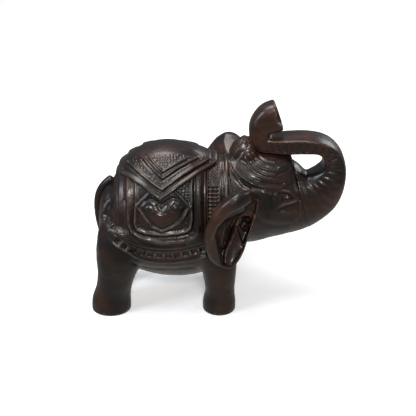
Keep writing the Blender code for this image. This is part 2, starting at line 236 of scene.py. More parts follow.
def tube(bm, stations, lift=0.0, dome=0.75, upright=False, sides=RING_SIDES, square=0.0):
    """A closed skin of elliptic rings, square to the path or to x.

    lift adds to its radii, dome says how far the ends bulge, and square makes the rings box-like by degrees
    beyond the first ones.
    """
    rows = catmull_rom(stations, 8)
    frames = []
    for i, row in enumerate(rows):
        along = Vector((1, 0, 0))
        if not upright:
            ahead, behind = rows[min(i + 1, len(rows) - 1)], rows[max(i - 1, 0)]
            along = Vector((ahead[0] - behind[0], 0, ahead[2] - behind[2])).normalized()
        frames.append((Vector(row[:3]), along, row[3] + lift, row[4] + lift))

    def domed(frame, sign):
        centre, along, across, thick = frame
        for angle in DOME_ANGLES:
            shrink = math.cos(math.radians(angle))
            reach = sign * dome * min(across, thick) * math.sin(math.radians(angle))
            yield centre + along * reach, along, across * shrink, thick * shrink

    if dome:
        frames = [*reversed(list(domed(frames[0], -1))), *frames, *domed(frames[-1], 1)]
    rings = []
    for i, (centre, along, across, thick) in enumerate(frames):
        normal = Vector((-along.z, 0, along.x))
        power = 2 / (2 + square * min(max(5 * i / len(frames) - 0.8, 0), 1))
        ring = []
        for k in range(sides):
            angle = 2 * math.pi * k / sides
            wide, high = (math.copysign(abs(f(angle)) ** power, f(angle)) for f in (math.cos, math.sin))
            ring.append(bm.verts.new(centre + Vector((0, across * wide, 0)) + normal * thick * high))
        rings.append(ring)
    skin(bm, rings)
    bm.faces.new(list(reversed(rings[0])))
    bm.faces.new(rings[-1])


def leg_stations(stations, side):
    return [(x, side * LEG_SPREAD * y, z, across, thick) for x, y, z, across, thick in stations]


def body_tubes():
    tubes = [(TORSO, 0.55)]
    for side in (-1, 1):
        tubes.append((leg_stations(HIND_LEG, side), 0))
        tubes.append((leg_stations(FRONT_LEG, side), 0))
    return tubes


def head_tubes():
    return [(HEAD_TO_TIP[:HEAD_STATIONS], 0.75), (BROW, 0.75), (CREST, 0.5)]


# Everything is built in millimetres about the modelling zero, and moved onto the frame by finish_piece.
def make(name, bm):
    """An object of the mesh, with its faces turned outwards."""
    bmesh.ops.recalc_face_normals(bm, faces=bm.faces)
    mesh = bpy.data.meshes.new(name)
    bm.to_mesh(mesh)
    bm.free()
    obj = bpy.data.objects.new(name, mesh)
    scene.collection.objects.link(obj)
    return obj


def settle(obj):
    """Applies the object's modifiers."""
    bpy.context.view_layer.update()
    mesh = bpy.data.meshes.new_from_object(obj.evaluated_get(bpy.context.evaluated_depsgraph_get()))
    obj.modifiers.clear()
    obj.data = mesh
    return obj


def fuse(obj, voxel, rounds):
    """One even, smooth skin around everything in the object."""
    shell = obj.modifiers.new("shell", "REMESH")
    shell.mode = "VOXEL"
    shell.voxel_size = voxel
    relax = obj.modifiers.new("relax", "SMOOTH")
    relax.iterations = rounds
    relax.factor = 0.5
    return settle(obj)


def mass(name, tubes, fineness, lift=0.0):
    """Domed tubes fused into one skin."""
    bm = bmesh.new()
    for stations, dome in tubes:
        tube(bm, stations, lift=lift, dome=dome, upright=stations is TORSO)
    return fuse(make(name, bm), *fineness)


def combine(obj, operation, other, keep=False):
    """An exact Boolean with another object, which is then removed unless it is kept."""
    cut = obj.modifiers.new("cut", "BOOLEAN")
    cut.operation = operation
    cut.solver = "EXACT"
    cut.object = other
    settle(obj)
    if not keep:
        bpy.data.objects.remove(other)
    return obj


def cutter(rings):
    bm = bmesh.new()
    made = [[bm.verts.new(spot) for spot in ring] for ring in rings]
    skin(bm, made)
    bm.faces.new(list(reversed(made[0])))
    bm.faces.new(made[-1])
    return make("cutter", bm)


def prism(outline):
    """A cutter over both sides of the figure, with its outline in (x, w)."""
    return cutter([[(x, y, (w + abs(y) * RUN) / RISE) for x, w in outline] for y in (-DEPTH, 0.0, DEPTH)])


def flat_prism(outline):
    """A cutter straight across the figure, with its outline in (x, z)."""
    return cutter([[(x, y, z) for x, z in outline] for y in (-DEPTH, DEPTH)])


def laid_on(name, tubes, fineness, lift, edge, trimmed, trim=None):
    """A thin piece that follows the wood below: its skin is lifted, trimmed to an outline and hollowed."""
    core = mass("core", tubes, fineness, lift[0])
    piece = mass(name, tubes, fineness, lift[1])
    combine(piece, "INTERSECT", prism(edge))
    combine(piece, "DIFFERENCE", core)
    if trim:
        combine(piece, "INTERSECT", flat_prism(trim))
    return fuse(piece, *trimmed)


# ---------------------------------------------------------------- carving
def fetched(mesh, what):
    """The positions or the normals of all vertices."""
    values = np.zeros(len(mesh.vertices) * 3, np.float32)
    mesh.vertices.foreach_get(what, values)
    return values.reshape(-1, 3).astype(np.float64)


class Carving:
    """The vertices of a piece, and the height h by which each is pushed along its normal."""

    def __init__(self, obj):
        self.obj = obj
        mesh = obj.data
        self.co, self.n = fetched(mesh, "co"), fetched(mesh, "normal")
        self.u = self.co[:, 0]
        self.w = self.co[:, 2] * RISE - np.abs(self.co[:, 1]) * RUN
        self.h = np.zeros(len(self.co))

    def outward(self):
        """1 on the outer skin of a shell laid on the torso or head, 0 on its underside."""
        away = self.co.copy()
        away[:, 0] -= np.clip(away[:, 0], *SPINE_REACH)
        away[:, 2] -= SPINE_HEIGHT
        away /= np.linalg.norm(away, axis=1, keepdims=True) + 1e-9
        return step((self.n * away).sum(1), 0.1, 0.5)

    def line(self, points, across=None, up=None):
        """Distance to a polyline in (x, w), and how far along it the nearest point is."""
        across = self.u if across is None else across
        up = self.w if up is None else up
        best = np.full(len(across), 1e9)
        along = np.zeros(len(across))
        run = 0.0
        for (ax, ay), (bx, by) in zip(points, points[1:]):
            dx, dy = bx - ax, by - ay
            length = math.hypot(dx, dy)
            t = np.clip(((across - ax) * dx + (up - ay) * dy) / length**2, 0, 1)
            d = np.hypot(across - ax - t * dx, up - ay - t * dy)
            near = d < best
            best = np.where(near, d, best)
            along = np.where(near, run + t * length, along)
            run += length
        return best, along

    def inside(self, outline):
        """Distance to the edge of a closed outline in (x, w): positive inside."""
        d, _ = self.line([*outline, outline[0]])
        crossings = np.zeros(len(self.u), bool)
        for (ax, ay), (bx, by) in zip(outline, [*outline[1:], outline[0]]):
            if ay == by:
                continue
            spans = (self.w > min(ay, by)) & (self.w <= max(ay, by))
            crossings ^= spans & (self.u < ax + (self.w - ay) * (bx - ax) / (by - ay))
        return np.where(crossings, d, -d)

    def ridge(self, points, width, height, mask=1.0):
        """Adds a ridge along a polyline in (x, w), or a groove where height is negative."""
        d, _ = self.line(points)
        self.h += height * bell(d, width) * mask

    def ridges(self, rows, mask=1.0):
        for points, width, height in rows:
            self.ridge(points, width, height, mask)

    def press(self, mask=1.0):
        """Moves the vertices by h."""
        self.co += self.n * (self.h * mask)[:, None]
        self.obj.data.vertices.foreach_set("co", self.co.astype(np.float32).ravel())
        self.obj.data.update()


def bell(value, width):
    return np.exp(-((value / width) ** 2))


def step(value, low, high):
    """Rises smoothly from 0 at low to 1 at high."""
    t = np.clip((value - low) / (high - low), 0, 1)
    return t * t * (3 - 2 * t)


def hashed(*cells):
    """A repeatable scatter of 0 to 1 over whole-numbered cells."""
    value = np.zeros(cells[0].shape)
    for cell, weight in zip(cells, HASH_WEIGHTS):
        value += cell * weight
    return np.modf(np.abs(np.sin(value) * HASH_SCALE))[0]


def noise(points, size, seed=0.0):
    """Smooth value noise of about -1 to 1."""
    p = points / size + seed
    base = np.floor(p)
    f = p - base
    f = f * f * (3 - 2 * f)
    total = np.zeros(len(p))
    for i in (0, 1):
        for j in (0, 1):
            for k in (0, 1):
                weight = (f[:, 0] if i else 1 - f[:, 0]) * (f[:, 1] if j else 1 - f[:, 1])
                weight = weight * (f[:, 2] if k else 1 - f[:, 2])
                total += weight * hashed(base[:, 0] + i, base[:, 1] + j, base[:, 2] + k)
    return total * 2 - 1


def dots(u, w, pitch, radius, seed=0.0):
    """Punched dots on a jittered grid, 0 to 1."""
    out = np.zeros(len(u))
    cu, cw = np.floor(u / pitch), np.floor(w / pitch)
    for i in (-1, 0, 1):
        for j in (-1, 0, 1):
            x = (cu + i + 0.5 + 0.5 * (hashed(cu + i, cw + j + seed) - 0.5)) * pitch
            y = (cw + j + 0.5 + 0.5 * (hashed(cw + j, cu + i + seed) - 0.5)) * pitch
            out = np.maximum(out, np.exp(-((u - x) ** 2 + (w - y) ** 2) / radius**2))
    return out


def links(mesh):
    """The two vertices of every edge."""
    edges = np.zeros(len(mesh.edges) * 2, np.int64)
    mesh.edges.foreach_get("vertices", edges)
    return edges.reshape(-1, 2)


def averaged(values, edges, rounds):
    """Values smoothed over the mesh, each round towards the mean of the neighbours."""
    count = len(values)
    degree = np.bincount(edges.ravel(), minlength=count).astype(float)
    degree[degree == 0] = 1
    for _ in range(rounds):
        total = np.empty_like(values)
        for k in range(values.shape[1]):
            total[:, k] = np.bincount(edges[:, 0], values[edges[:, 1], k], count)
            total[:, k] += np.bincount(edges[:, 1], values[edges[:, 0], k], count)
        values = 0.5 * values + 0.5 * total / degree[:, None]
    return values


def relief_for_wear_and_shade(obj, depth=None):
    """Stores relief on the vertices: 0.5 on flat wood, more on ridges and edges, less in grooves; the wood
    is rubbed bare where it is high and darkened with painted shade where it is low.
    """
    mesh = obj.data
    co, edges = fetched(mesh, "co"), links(mesh)
    relief = 0.5 + RELIEF_OF_SHAPE * ((co - averaged(co, edges, 8)) * fetched(mesh, "normal")).sum(1)
    if depth is not None:
        relief += RELIEF_OF_CARVING * (depth - averaged(depth[:, None], edges, 30)[:, 0])
    relief = averaged(relief[:, None], edges, 1)[:, 0]
    layer = mesh.attributes.new("relief", "FLOAT", "POINT")
    layer.data.foreach_set("value", np.clip(relief, 0, 1).astype(np.float32))


def finish_piece(obj, name, node, material, keep=THINNED, depth=None):
    """Stores the relief, thins the mesh where it is plain, moves it onto the frame, attaches it to the root
    body and hides the frame's part.
    """
    relief_for_wear_and_shade(obj, depth)
    if keep < 1:
        thin = obj.modifiers.new("thin", "DECIMATE")
        thin.ratio = keep
        settle(obj)
    obj.name = name
    obj.data.transform(Matrix.Diagonal((MM, MM, MM, 1)) @ Matrix.Translation((SHIFT, 0, 0)))
    obj.data.polygons.foreach_set("use_smooth", [True] * len(obj.data.polygons))
    obj.data.materials.clear()
    obj.data.materials.append(material)
    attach(obj, "root")
    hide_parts(node)


# ---------------------------------------------------------------- materials
def set_stops(node, stops):
    elements = node.color_ramp.elements
    while len(elements) < len(stops):
        elements.new(0.5)
    for element, (spot, colour) in zip(elements, stops):
        element.position = spot
        element.color = (*colour, 1)


def stained_wood(name, dark, warm, rubbed, warmth):
    """Stain in dark and warm patches over fine grain, darkened with painted shade in the grooves, and rubbed
    bare on the ridges.
    """
    material = bpy.data.materials.new(name)
    material.use_nodes = True
    nodes, link = material.node_tree.nodes, material.node_tree.links.new
    shader = nodes["Principled BSDF"]
    place = nodes.new("ShaderNodeTexCoord").outputs["Object"]
    relief = nodes.new("ShaderNodeAttribute")
    relief.attribute_name = "relief"

    def texture(scale, detail, stretch=(1, 1, 1)):
        spread = nodes.new("ShaderNodeMapping")
        spread.inputs["Scale"].default_value = stretch
        link(place, spread.inputs["Vector"])
        node = nodes.new("ShaderNodeTexNoise")
        node.inputs["Scale"].default_value = scale
        node.inputs["Detail"].default_value = detail
        link(spread.outputs["Vector"], node.inputs["Vector"])
        return node.outputs["Fac"]

    def ramp(source, *stops):
        node = nodes.new("ShaderNodeValToRGB")
        set_stops(node, [(spot, tone if isinstance(tone, tuple) else (tone,) * 3) for spot, tone in stops])
        link(source, node.inputs["Fac"])
        return node.outputs["Color"]

    def product(one, two):
        node = nodes.new("ShaderNodeMix")
        node.data_type = "RGBA"
        node.blend_type = "MULTIPLY"
        node.inputs["Factor"].default_value = 1.0
        link(one, node.inputs["A"])
        link(two, node.inputs["B"])
        return node.outputs["Result"]

    blotch = ramp(texture(70, 4), (0.38, dark), (0.62 - warmth, warm))
    grain = ramp(texture(220, 5, (0.18, 1, 1)), (0.3, 0.55), (0.7, (1.25, 1.2, 1.15)))
    stain = product(blotch, grain)
    worn = ramp(relief.outputs["Fac"], (0.66, 0.0), (1.0, 1.0))
    patch = ramp(texture(160, 3), (0.44, 0.08), (0.64, 0.9))
    bare = nodes.new("ShaderNodeMix")
    bare.data_type = "RGBA"
    bare.inputs["B"].default_value = (*rubbed, 1)
    link(product(worn, patch), bare.inputs["Factor"])
    link(stain, bare.inputs["A"])
    # Painted shade: the colour is darkened where the stored relief is low, in grooves and hollows.
    groove_shade = ramp(relief.outputs["Fac"], (0.18, 0.06), (0.46, 1.0))
    link(product(bare.outputs["Result"], groove_shade), shader.inputs["Base Color"])
    gloss = ramp(texture(110, 4), (0.3, 0.26), (0.7, 0.48))
    link(gloss, shader.inputs["Roughness"])
    shader.inputs["Specular IOR Level"].default_value = 0.45
    shader.inputs["Coat Weight"].default_value = 0.28
    shader.inputs["Coat Roughness"].default_value = 0.12
    bump = nodes.new("ShaderNodeBump")
    bump.inputs["Strength"].default_value = 0.5
    bump.inputs["Distance"].default_value = 0.0003
    link(texture(420, 6, (0.35, 1, 1)), bump.inputs["Height"])
    link(bump.outputs["Normal"], shader.inputs["Normal"])
    return material


def plain_gloss(name, colour, roughness):
    """A finely mottled colour."""
    material = bpy.data.materials.new(name)
    material.use_nodes = True
    nodes, link = material.node_tree.nodes, material.node_tree.links.new
    shader = nodes["Principled BSDF"]
    texture = nodes.new("ShaderNodeTexNoise")
    texture.inputs["Scale"].default_value = 900
    tone = nodes.new("ShaderNodeValToRGB")
    set_stops(tone, ((0.0, [0.6 * c for c in colour]), (1.0, [1.4 * c for c in colour])))
    link(texture.outputs["Fac"], tone.inputs["Fac"])
    link(tone.outputs["Color"], shader.inputs["Base Color"])
    shader.inputs["Roughness"].default_value = roughness
    return material


WOOD = stained_wood(
    "stained_wood", dark=(0.0085, 0.0055, 0.0045), warm=(0.036, 0.0145, 0.0085), rubbed=(0.22, 0.15, 0.095),
    warmth=0.0,
)
RED_WOOD = stained_wood(
    "rubbed_wood", dark=(0.011, 0.006, 0.0045), warm=(0.050, 0.018, 0.0095), rubbed=(0.24, 0.14, 0.08),
    warmth=0.03,
)
EYE_GLOSS = plain_gloss("eye_lacquer", (0.02, 0.012, 0.01), 0.08)
PEG_WOOD = plain_gloss("dowel_wood", (0.55, 0.40, 0.24), 0.7)

# ---------------------------------------------------------------- camera, floor and light
AIM_SHIFT = Vector((-0.00405, 0.0, -0.004))
CAMERA_DISTANCE = 0.45
aim = (CAD_BOX[0] + CAD_BOX[1]) / 2 + AIM_SHIFT
back = Vector((0, -RISE, RUN))
camera = bpy.data.objects.new("camera", bpy.data.cameras.new("camera"))
scene.collection.objects.link(camera)
camera.data.lens = 83.0
camera.data.sensor_width = 36.0
camera.data.clip_start = 0.01
camera.location = aim + back * CAMERA_DISTANCE
camera.rotation_mode = "QUATERNION"
camera.rotation_quaternion = (-back).to_track_quat("-Z", "Y")
scene.camera = camera

bm = bmesh.new()
bmesh.ops.create_grid(bm, x_segments=1, y_segments=1, size=6.0)
floor = make("floor", bm)
floor.visible_glossy = False
floor.visible_diffuse = False
floor_material = bpy.data.materials.new("floor")
floor_material.use_nodes = True
floor_shader = floor_material.node_tree.nodes["Principled BSDF"]
floor_shader.inputs["Base Color"].default_value = (0.93, 0.93, 0.93, 1)
floor_shader.inputs["Roughness"].default_value = 0.9
floor_shader.inputs["Specular IOR Level"].default_value = 0.1
floor_shader.inputs["Emission Color"].default_value = (1, 1, 1, 1)
floor_shader.inputs["Emission Strength"].default_value = 0.35
floor.data.materials.append(floor_material)

world = bpy.data.worlds.new("studio")
scene.world = world
world.use_nodes = True
world_nodes, world_link = world.node_tree.nodes, world.node_tree.links.new
sky = world_nodes["Background"]
ray = world_nodes.new("ShaderNodeTexCoord")
split = world_nodes.new("ShaderNodeSeparateXYZ")
tone = world_nodes.new("ShaderNodeValToRGB")
world_link(ray.outputs["Generated"], split.inputs["Vector"])
height = world_nodes.new("ShaderNodeMapRange")
height.inputs["From Min"].default_value = -1
height.inputs["From Max"].default_value = 1
world_link(split.outputs["Z"], height.inputs["Value"])
world_link(height.outputs["Result"], tone.inputs["Fac"])
SKY_STOPS = (
    (0.0, (0.60, 0.58, 0.55)),
    (0.3, (0.28, 0.27, 0.26)),
    (0.5, (0.16, 0.165, 0.175)),
    (0.85, (0.28, 0.31, 0.36)),
)
set_stops(tone, SKY_STOPS)
world_link(tone.outputs["Color"], sky.inputs["Color"])
sky.inputs["Strength"].default_value = 0.9


def softbox(name, spot, size, power, colour=(1, 1, 1)):
    """An area light aimed at the middle of the figure."""
    light = bpy.data.lights.new(name, "AREA")
    light.energy = power
    light.shape = "RECTANGLE"
    light.size, light.size_y = size
    light.color = colour
    obj = bpy.data.objects.new(name, light)
    scene.collection.objects.link(obj)
    obj.location = spot
    obj.rotation_mode = "QUATERNION"
    obj.rotation_quaternion = (Vector((0, 0, 0.05)) - Vector(spot)).to_track_quat("-Z", "Y")


softbox("top", (-0.12, 0.02, 0.65), (0.40, 0.30), 2.9, (1.0, 0.95, 0.90))
softbox("left", (-0.55, -0.30, 0.40), (0.20, 0.35), 2.0, (0.80, 0.90, 1.0))
softbox("front", (0.05, -0.65, 0.55), (0.14, 0.14), 2.6, (1.0, 0.93, 0.86))
softbox("rear", (0.45, 0.50, 0.35), (0.3, 0.3), 1.2)

# ---------------------------------------------------------------- body
# The body and the head are two parts of one skin.
body = mass("body_skin", [*body_tubes(), *head_tubes()], BODY_SKIN)
head = body.copy()
head.data = body.data.copy()
scene.collection.objects.link(head)
combine(body, "INTERSECT", flat_prism(((-80.0, 0.0), *NECK, (-80.0, 120.0))))
carve = Carving(body)
carve.h += 0.10 * noise(carve.co, 5.0) + 0.06 * noise(carve.co, 2.0, 7.0)
# The edge of the belly, wrinkles of the neck and of the rump: points, width and height.
BODY_LINES = (
    (((-40.0, 15.9), (-36.5, 13.6), (-30.0, 12.4), (-20.0, 12.2), (-12.0, 13.2)), 0.5, -0.35),
    (((-17.2, 15.0), (-17.0, 9.5)), 0.5, -0.35),
    (((1.9, 66.0), (1.7, 44.0)), 0.45, -0.40),
    (((3.3, 64.0), (3.2, 44.0)), 0.50, 0.30),
    (((4.8, 62.0), (4.8, 44.0)), 0.50, -0.45),
    (((6.2, 59.0), (6.8, 45.0)), 0.55, 0.30),
    (((7.8, 56.5), (8.8, 46.0)), 0.50, -0.40),
    (((-47.2, 47.0), (-52.2, 42.0), (-54.8, 35.5), (-55.2, 28.0), (-54.6, 20.0)), 0.9, 0.3),
    (((-44.0, 50.0), (-49.0, 44.0), (-51.8, 38.0), (-52.6, 31.0)), 1.2, -0.45),
)
carve.ridges(BODY_LINES, step(carve.co[:, 2], 12.0, 16.0))
flat_soles = step(carve.co[:, 2], 0.4, 2.5)
carve.press(flat_soles)
finish_piece(body, "carved_body", "body", WOOD, depth=carve.h)

# ---------------------------------------------------------------- head
low, high = TRUNK_SEAM
combine(head, "INTERSECT", flat_prism((NECK[0], low, high, (high[0], 120.0), *reversed(NECK[1:]))))
carve = Carving(head)
carve.h += 0.08 * noise(carve.co, 4.0) + 0.05 * noise(carve.co, 1.6, 3.0)
# The lids, the wrinkles around the eye and the lines of the cheek.
FACE_LINES = (
    (((26.0, 48.9), (28.6, 48.9), (31.4, 48.1), (33.6, 46.5), (35.4, 44.9)), 0.60, 0.50),
    (((27.2, 47.2), (29.4, 47.5), (31.8, 46.9), (33.8, 45.5)), 0.45, -0.40),
    (((36.0, 44.3), (32.8, 43.2), (29.4, 42.4), (26.0, 41.0)), 0.50, 0.45),
    (((34.0, 42.2), (31.0, 41.2), (27.4, 40.0)), 0.6, -0.35),
    (((28.4, 45.6), (29.2, 43.9)), 0.6, -0.35),
    (((33.6, 44.9), (35.4, 44.5)), 0.5, -0.40),
    (((26.2, 47.0), (24.9, 45.0), (25.2, 42.4)), 0.6, 0.25),
    (((24.6, 47.0), (23.6, 44.0), (24.0, 40.6)), 0.7, -0.25),
    (((28.0, 39.2), (31.5, 38.6), (34.5, 39.6)), 0.7, 0.25),
    (((16.0, 37.0), (20.0, 34.0), (26.0, 32.4), (32.0, 33.0)), 1.2, -0.35),
    (((18.4, 44.6), (21.4, 41.6), (22.4, 37.6)), 1.2, -0.30),
    (((36.9, 44.0), (37.2, 37.4)), 0.40, 0.40),
    (((33.6, 55.0), (34.6, 51.0), (36.2, 47.4)), 0.40, 0.35),
    (((34.9, 56.5), (35.8, 52.0), (37.3, 48.0)), 0.35, -0.35),
    (((35.2, 39.5), (35.4, 35.8)), 0.40, 0.35),
    (((20.0, 47.6), (25.0, 46.6)), 0.6, 0.35),
    (((13.6, 49.4), (11.0, 50.6), (8.8, 53.2), (6.4, 57.0)), 0.7, -0.55),
)
carve.ridges(FACE_LINES, step(np.abs(carve.co[:, 1]), 1.5, 4.0))
carve.press()
finish_piece(head, "carved_head", "head", WOOD, depth=carve.h)

# ---------------------------------------------------------------- trunk
# The hollow of the tip: centre and radii of two balls that lean back.
MOUTH = (((28.6, -0.8, 93.6), (4.8, 4.4, 5.4)), ((30.5, -3.0, 94.0), (5.4, 8.0, 5.5)))
MOUTH_LEAN = Matrix.Rotation(math.radians(-20), 4, "Y")
# How much painted shade darkens the wall of the hollow at the tip, given as a false depth.
MOUTH_SHADE_DEPTH = 2.2
WRINKLE_PITCH = 3.3
bm = bmesh.new()
tube(bm, HEAD_TO_TIP[TRUNK_FIRST:], dome=0, sides=64, square=1.1)
tube(bm, TRUNK_ROOT, sides=32)
trunk = fuse(make("trunk_skin", bm), *TRUNK_SKIN)
combine(trunk, "DIFFERENCE", flat_prism(((0.0, 0.0), low, high, (0.0, high[1]))))
bm = bmesh.new()
for spot, size in MOUTH:
    hollow = Matrix.Translation(spot) @ MOUTH_LEAN @ Matrix.Diagonal((*size, 1))
    bmesh.ops.create_icosphere(bm, subdivisions=4, radius=1.0, matrix=hollow)
combine(trunk, "DIFFERENCE", fuse(make("mouth", bm), *MOUTH_SKIN))
fuse(trunk, *TRUNK_TRIMMED)
carve = Carving(trunk)
carve.h += 0.06 * noise(carve.co, 4.0, 5.0)
path = [(x, z) for x, _, z, _, _ in catmull_rom(HEAD_TO_TIP[TRUNK_FIRST:], 4)]
_, along = carve.line(path, carve.co[:, 0], carve.co[:, 2])
left = along.max() - along
# The loop over the forehead has ridged corners and sunken flanks, and the flanks are wrinkled across.
loop = step(along, 22.0, 34.0) * step(left, 16.0, 26.0)
sideways = np.abs(carve.n[:, 1])
flank = step(sideways, 0.75, 0.97)
carve.h += loop * (0.45 * bell(sideways - 0.62, 0.22) - 0.55 * flank)
wrinkle = np.sin(along * 2 * math.pi / WRINKLE_PITCH + 1.5 * noise(carve.co, 7.0, 2.0))
carve.h += flank * (0.10 + 0.08 * loop) * wrinkle * step(along, 4.0, 9.0) * step(left, 5.0, 9.0)
# Painted shade in the hollow of the tip: its wall is given a false depth, so the relief darkens it in the
# colour.
mouth = np.zeros(len(carve.u))
for spot, size in MOUTH:
    local = (carve.co - np.array(spot)) @ np.array(MOUTH_LEAN.to_3x3()) / np.array(size)
    mouth = np.maximum(mouth, step(1.07 - np.linalg.norm(local, axis=1), 0, 0.05))
carve.press()
trunk_depth_and_mouth_shade = carve.h - MOUTH_SHADE_DEPTH * mouth
finish_piece(trunk, "carved_trunk", "trunk", RED_WOOD, depth=trunk_depth_and_mouth_shade)

# ---------------------------------------------------------------- cloths
CLOTH_EDGE = (
    (-46.9, 90.0), (-47.0, 56.0), (-46.6, 48.8), (-46.5, 38.8), (-48.5, 35.0), (-50.3, 30.7), (-50.8, 28.4),
    (-49.9, 26.1), (-46.9, 23.8), (-42.5, 20.8), (-38.5, 18.3), (-33.5, 16.3), (-27.1, 15.3), (-20.2, 15.5),
    (-13.3, 16.4), (-6.0, 18.4), (-6.0, 90.0),
)
COVER_EDGE = (
    (-46.0, 90.0), (-46.0, 60.0), (-44.9, 56.5), (-39.4, 53.4), (-35.2, 50.4), (-30.7, 46.8), (-26.2, 43.7),
    (-21.8, 46.5), (-17.4, 49.8), (-13.0, 52.8), (-8.6, 56.3), (-2.7, 60.0), (-0.8, 61.6), (-0.8, 90.0),
)
cloth = laid_on("cloth_skin", body_tubes(), BODY_SKIN, CLOTH_LIFT, CLOTH_EDGE, CLOTH_TRIMMED)
carve = Carving(cloth)
FRAME_A = (
    (-40.8, 62.0), (-40.7, 44.2), (-40.9, 33.5), (-39.6, 30.2), (-35.6, 27.3), (-31.1, 25.8), (-25.7, 25.0),
    (-19.9, 25.2), (-15.4, 25.9), (-11.8, 27.2), (-9.3, 29.4), (-8.9, 33.0), (-8.9, 62.0),
)
FRAME_B = (
    (-37.0, 60.0), (-37.0, 44.2), (-37.7, 33.4), (-36.6, 31.0), (-33.2, 29.5), (-26.5, 28.6), (-19.8, 29.1),
    (-15.3, 30.1), (-13.2, 31.6), (-12.4, 35.3), (-12.3, 60.0),
)
carve.h += 0.05 * noise(carve.co, 3.0) + 0.03 * noise(carve.co, 1.2, 2.0)
carve.ridge(FRAME_A, 0.75, 0.75)
carve.ridge([(x, w - 1.7) if w < 40 else (x - 1.5, w) for x, w in FRAME_A[1:-4]], 0.7, -0.45)
carve.ridge(FRAME_B, 0.6, 0.65)
carve.ridge([(x - 1.5 if x < -25 else x + 1.3, w - 1.4 if w < 33 else w) for x, w in FRAME_B], 0.6, -0.6)
carve.ridge(((-44.8, 62.0), (-44.7, 40.6), (-45.2, 34.3), (-46.6, 29.8)), 0.5, 0.35)
carve.ridge(((-43.2, 62.0), (-43.0, 40.6), (-43.3, 32.0), (-41.5, 27.5), (-36.0, 24.0)), 0.5, -0.25)
for x in (-9.9, -7.6):
    carve.ridge(((x + 0.9, 62.0), (x + 0.9, 30.0)), 0.4, -0.35)
MOTIF = (
    (-36.8, 41.4), (-32.0, 46.2), (-25.0, 52.0), (-18.3, 46.8), (-13.0, 41.1), (-17.5, 34.0), (-22.0, 31.6),
    (-26.0, 30.2), (-30.0, 32.3),
)
field = carve.inside(FRAME_B[1:])
motif = carve.inside(MOTIF)
carve.ridge([*MOTIF, MOTIF[0]], 0.4, 0.45)
punched = step(field, 0.8, 1.4) * step(-motif, 0.6, 1.0)
carve.h -= punched * (0.15 + 0.30 * dots(carve.u, carve.w, 1.3, 0.42))
POD = (
    (-35.0, 41.2), (-33.4, 43.4), (-30.4, 44.4), (-27.8, 42.8), (-26.0, 41.6), (-24.0, 42.8), (-20.4, 44.6),
    (-17.2, 43.4), (-15.2, 40.9), (-18.2, 36.4), (-21.6, 33.4), (-25.6, 31.6), (-29.0, 33.2), (-32.2, 37.2),
)
pod = carve.inside(POD)
carve.h += 0.8 * step(pod, -0.5, 3.4) - 0.35 * bell(pod + 0.4, 0.5)
POD_LINES = (
    (((-33.0, 41.0), (-31.0, 42.2), (-29.2, 40.6), (-30.6, 39.0)), 0.6, -0.28),
    (((-17.4, 41.0), (-19.8, 42.2), (-21.4, 40.6), (-20.2, 39.0)), 0.6, -0.28),
    (((-27.4, 41.6), (-25.8, 39.6), (-24.2, 41.6)), 0.8, -0.5),
    (((-27.6, 37.8), (-25.8, 37.2), (-23.8, 37.8)), 0.45, 0.3),
    (((-32.0, 38.0), (-28.6, 34.9), (-25.6, 33.7), (-21.8, 35.2), (-18.2, 38.2)), 0.5, -0.2),
)
carve.ridges(POD_LINES)
FRINGE = (
    (-47.4, 27.0), (-44.6, 24.6), (-41.2, 22.4), (-37.2, 20.7), (-33.0, 19.6), (-28.0, 19.0), (-22.5, 18.8),
    (-17.5, 19.3), (-12.5, 20.4), (-7.0, 21.8),
)
NOTCH_PITCH = 4.05
d, along = carve.line(FRINGE)
cell = np.abs(np.modf(along / NOTCH_PITCH)[0] - 0.5) * NOTCH_PITCH
notch = step(1.55 - np.maximum(cell, d * 1.15), 0.0, 0.45)
carve.h -= 0.75 * notch
carve.ridge([(x - 0.2, w + 2.5) for x, w in FRINGE], 0.35, -0.3)
carve.ridge([(x, w - 2.1) for x, w in FRINGE[1:]], 0.35, -0.25)
rim = -np.abs(carve.inside(CLOTH_EDGE[:-1] + ((-3.0, 18.4), (-3.0, 90.0))))
carve.h += 0.35 * step(rim, -1.4, -0.5)
carve.h *= 0.35 + 0.65 * step(carve.u, -49.0, -46.0)
carve.press(carve.outward())
finish_piece(cloth, "carved_saddle_cloth", "saddle_cloth", WOOD, depth=carve.h)

cover = laid_on("cover_skin", body_tubes(), BODY_SKIN, COVER_LIFT, COVER_EDGE, CLOTH_TRIMMED)
carve = Carving(cover)
CHEVRONS = (
    ((-41.0, 61.5), (-38.5, 59.2), (-35.2, 56.2), (-30.6, 52.5), (-28.0, 50.6), (-25.3, 48.9), (-21.8, 51.4),
     (-17.4, 54.6), (-13.0, 57.6), (-8.6, 60.4), (-4.5, 62.8)),
    ((-34.5, 63.6), (-31.7, 60.2), (-28.4, 56.8), (-25.0, 53.7), (-21.8, 56.1), (-17.4, 59.1), (-13.0, 61.7),
     (-9.8, 63.4)),
    ((-32.3, 64.6), (-28.1, 59.7), (-25.0, 56.8), (-21.8, 58.8), (-17.4, 61.4), (-14.0, 63.3)),
)
carve.h += 0.05 * noise(carve.co, 3.0, 4.0)
for points, width, height in zip(CHEVRONS, (0.65, 0.5, 0.4), (0.65, 0.6, 0.4)):
    carve.ridge(points, width, height)
    carve.ridge([(x, w - 1.2) for x, w in points], 0.45, -0.35)
lip = carve.inside(COVER_EDGE)
carve.h += 0.35 * step(-np.abs(lip - 0.9), -0.9, -0.1) - 0.4 * bell(lip - 2.6, 0.5)
first = carve.inside([*CHEVRONS[0], (-4.5, 90.0), (-41.0, 90.0)])
second = carve.inside([*CHEVRONS[1], (-9.8, 90.0), (-34.5, 90.0)])
third = carve.inside([*CHEVRONS[2], (-14.0, 66.0), (-32.3, 66.0)])
stipple = dots(carve.u, carve.w, 1.3, 0.42, 5.0)
below = step(66.0 - carve.w, 0.0, 2.5)
